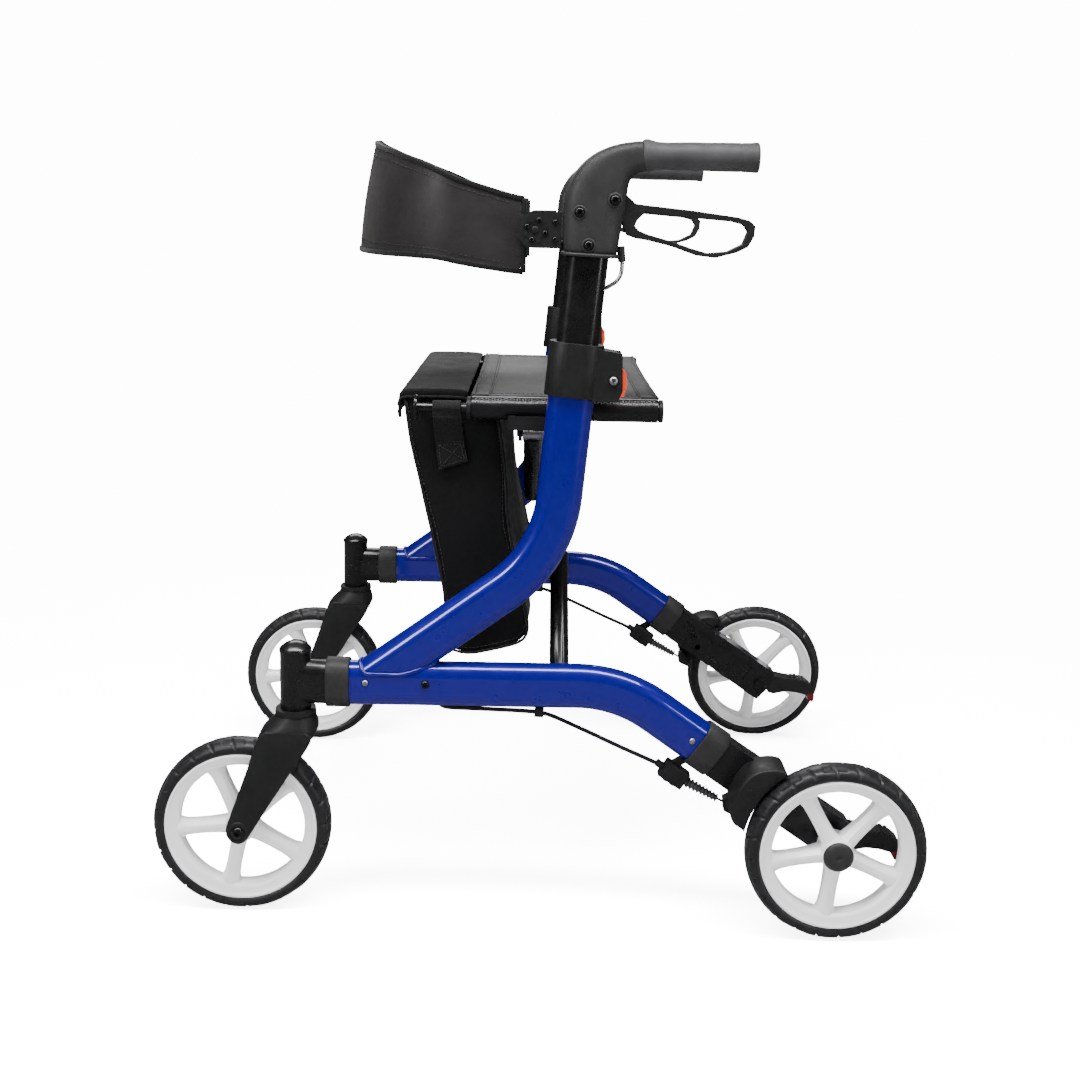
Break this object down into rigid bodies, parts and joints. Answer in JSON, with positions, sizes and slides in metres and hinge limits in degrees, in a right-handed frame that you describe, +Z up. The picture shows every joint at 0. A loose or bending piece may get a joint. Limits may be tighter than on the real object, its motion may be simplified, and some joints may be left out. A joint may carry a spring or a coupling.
{
  "type": "rollator walker",
  "caption": "Folding walker on wheels with a fabric seat, hung bag, backrest band, height-adjustable handles, brake levers and swivelling front casters.",
  "frame": {"origin": "on the floor under the middle of the open walker", "axes": "+Z up, -Y towards the casters and backrest, +Y towards the person pushing, +X to the walker's right-hand side frame"},
  "size_m": [0.624, 0.86, 0.8713],
  "materials": {
    "frame_blue": "pearl gloss royal blue paint",
    "black_metal": "satin black coating",
    "black_plastic": "fine grained matte",
    "grey_plastic": "fine grained matte",
    "steel": "zinc plated",
    "red_plastic": "semi gloss",
    "grip_rubber": "matte",
    "tyre": "matte",
    "rim": "silver-white satin",
    "seat_fabric": "woven nylon, slight sheen",
    "bag_fabric": "black woven nylon",
    "band_fabric": "padded leatherette"
  },
  "bodies": {
    "right_frame": {"right_lower_tube": "frame_blue", "right_upper_tube": "frame_blue", "right_tube_collars": "grey_plastic", "right_caster_housing": "black_metal", "right_rear_bracket": "black_metal", "right_tipper": "black_plastic", "right_clamp": "grey_plastic", "right_frame_fasteners": "steel", "right_brake_cable": "black_plastic", "right_rear_axle": "steel"},
    "left_frame": {"left_lower_tube": "frame_blue", "left_upper_tube": "frame_blue", "left_tube_collars": "grey_plastic", "left_caster_housing": "black_metal", "left_rear_bracket": "black_metal", "left_tipper": "black_plastic", "left_clamp": "grey_plastic", "left_frame_fasteners": "steel", "left_brake_cable": "black_plastic", "left_rear_axle": "steel"},
    "right_brace": {"right_brace": "black_metal"},
    "left_brace": {"left_brace": "black_metal"},
    "right_rail": {"right_seat_rail": "black_metal", "seat": "seat_fabric", "bag": "bag_fabric"},
    "left_rail": {"left_seat_rail": "black_metal"},
    "bag_flap": {"bag_flap": "bag_fabric"},
    "right_clamp_lever": {"right_clamp_lever": "red_plastic"},
    "right_brake_arm": {"right_brake_arm": "black_plastic"},
    "right_handle": {"right_post": "black_metal", "right_head": "grey_plastic", "right_grip": "grip_rubber", "right_head_fittings": "steel", "right_backrest_plate": "black_plastic"},
    "right_brake_lever": {"right_brake_lever": "black_plastic"},
    "right_caster": {"right_fork": "black_plastic", "right_front_axle": "steel"},
    "right_front_wheel": {"right_front_rim": "rim", "right_front_tyre": "tyre", "right_front_bearings": "steel"},
    "right_rear_wheel": {"right_rear_rim": "rim", "right_rear_tyre": "tyre", "right_rear_hub": "black_plastic"},
    "left_clamp_lever": {"left_clamp_lever": "red_plastic"},
    "left_brake_arm": {"left_brake_arm": "black_plastic"},
    "left_handle": {"left_post": "black_metal", "left_head": "grey_plastic", "left_grip": "grip_rubber", "left_head_fittings": "steel", "left_backrest_plate": "black_plastic"},
    "left_brake_lever": {"left_brake_lever": "black_plastic"},
    "left_caster": {"left_fork": "black_plastic", "left_front_axle": "steel"},
    "left_front_wheel": {"left_front_rim": "rim", "left_front_tyre": "tyre", "left_front_bearings": "steel"},
    "left_rear_wheel": {"left_rear_rim": "rim", "left_rear_tyre": "tyre", "left_rear_hub": "black_plastic"},
    "backrest": {"backrest_band": "band_fabric"}
  },
  "joints": [
    {"name": "fold", "type": "hinge", "parent": "right_frame", "child": "right_brace", "pos_m": [0.212, 0.024, 0.268], "axis": [0, 1, 0], "range_deg": [0, 46], "deforming": ["seat", "bag", "bag_flap", "backrest_band"]},
    {"name": "cross_pivot", "type": "hinge", "parent": "right_brace", "child": "left_brace", "pos_m": [0, 0.007, 0.4065], "axis": [0, 1, 0], "range_deg": [-92.1, 0.1]},
    {"name": "left_brace_foot", "type": "hinge", "parent": "left_brace", "child": "left_frame", "pos_m": [-0.212, 0.024, 0.268], "axis": [0, 1, 0], "range_deg": [-0.1, 46.1]},
    {"name": "left_rail_pivot", "type": "hinge", "parent": "right_brace", "child": "left_rail", "pos_m": [-0.212, 0.016, 0.545], "axis": [0, 1, 0], "range_deg": [-46.1, 0.1]},
    {"name": "right_rail_pivot", "type": "hinge", "parent": "left_brace", "child": "right_rail", "pos_m": [0.212, 0.016, 0.545], "axis": [0, 1, 0], "range_deg": [-0.1, 46.1]},
    {"name": "right_caster_swivel", "type": "hinge", "parent": "right_frame", "child": "right_caster", "pos_m": [0.246, -0.269, 0.236], "axis": [0, 0, 1], "continuous": true},
    {"name": "right_front_wheel_spin", "type": "hinge", "parent": "right_caster", "child": "right_front_wheel", "pos_m": [0.246, -0.33, 0.1], "axis": [1, 0, 0], "continuous": true},
    {"name": "right_rear_wheel_spin", "type": "hinge", "parent": "right_frame", "child": "right_rear_wheel", "pos_m": [0.29, 0.33, 0.1], "axis": [1, 0, 0], "continuous": true},
    {"name": "right_brake_lever_pull", "type": "hinge", "parent": "right_handle", "child": "right_brake_lever", "pos_m": [0.247, 0.0705, 0.8], "axis": [1, 0, 0], "range_deg": [-12, 14], "stiffness_Nm_per_rad": 10},
    {"name": "right_brake_arm_turn", "type": "hinge", "parent": "right_frame", "child": "right_brake_arm", "pos_m": [0.269, 0.237, 0.153], "axis": [-1, 0, 0], "range_deg": [-3.1, 3.6]},
    {"name": "right_clamp_lever_open", "type": "hinge", "parent": "right_frame", "child": "right_clamp_lever", "pos_m": [0.247, 0.074, 0.611], "axis": [1, 0, 0], "range_deg": [0, 60]},
    {"name": "left_caster_swivel", "type": "hinge", "parent": "left_frame", "child": "left_caster", "pos_m": [-0.246, -0.269, 0.236], "axis": [0, 0, 1], "continuous": true},
    {"name": "left_front_wheel_spin", "type": "hinge", "parent": "left_caster", "child": "left_front_wheel", "pos_m": [-0.246, -0.33, 0.1], "axis": [1, 0, 0], "continuous": true},
    {"name": "left_rear_wheel_spin", "type": "hinge", "parent": "left_frame", "child": "left_rear_wheel", "pos_m": [-0.29, 0.33, 0.1], "axis": [1, 0, 0], "continuous": true},
    {"name": "left_brake_lever_pull", "type": "hinge", "parent": "left_handle", "child": "left_brake_lever", "pos_m": [-0.247, 0.0705, 0.8], "axis": [1, 0, 0], "range_deg": [-12, 14], "stiffness_Nm_per_rad": 10},
    {"name": "left_brake_arm_turn", "type": "hinge", "parent": "left_frame", "child": "left_brake_arm", "pos_m": [-0.269, 0.237, 0.153], "axis": [-1, 0, 0], "range_deg": [-3.1, 3.6]},
    {"name": "left_clamp_lever_open", "type": "hinge", "parent": "left_frame", "child": "left_clamp_lever", "pos_m": [-0.247, 0.074, 0.611], "axis": [1, 0, 0], "range_deg": [0, 60]},
    {"name": "handle_height", "type": "slide", "parent": "right_frame", "child": "right_handle", "axis": [0, 0.0924, 0.9957], "range_m": [-0.05, 0.06]},
    {"name": "left_handle_height", "type": "slide", "parent": "left_frame", "child": "left_handle", "axis": [0, 0.0924, 0.9957], "range_m": [-0.0501, 0.0601]},
    {"name": "backrest_tilt", "type": "hinge", "parent": "right_handle", "child": "backrest", "pos_m": [0.247, -0.012, 0.768], "axis": [-1, 0, 0], "range_deg": [0, 100]},
    {"name": "bag_flap_open", "type": "hinge", "parent": "right_rail", "child": "bag_flap", "pos_m": [0, -0.082, 0.587], "axis": [-1, 0, 0], "range_deg": [0, 100]}
  ],
  "couplings": [
    {"joint": "cross_pivot", "follows": "fold", "ratio": -2},
    {"joint": "left_brace_foot", "follows": "fold", "ratio": 1},
    {"joint": "left_rail_pivot", "follows": "fold", "ratio": -1},
    {"joint": "right_rail_pivot", "follows": "fold", "ratio": 1},
    {"joint": "right_brake_arm_turn", "follows": "right_brake_lever_pull", "ratio": 0.25},
    {"joint": "left_brake_arm_turn", "follows": "left_brake_lever_pull", "ratio": 0.25},
    {"joint": "left_handle_height", "follows": "handle_height", "ratio": 1}
  ]
}
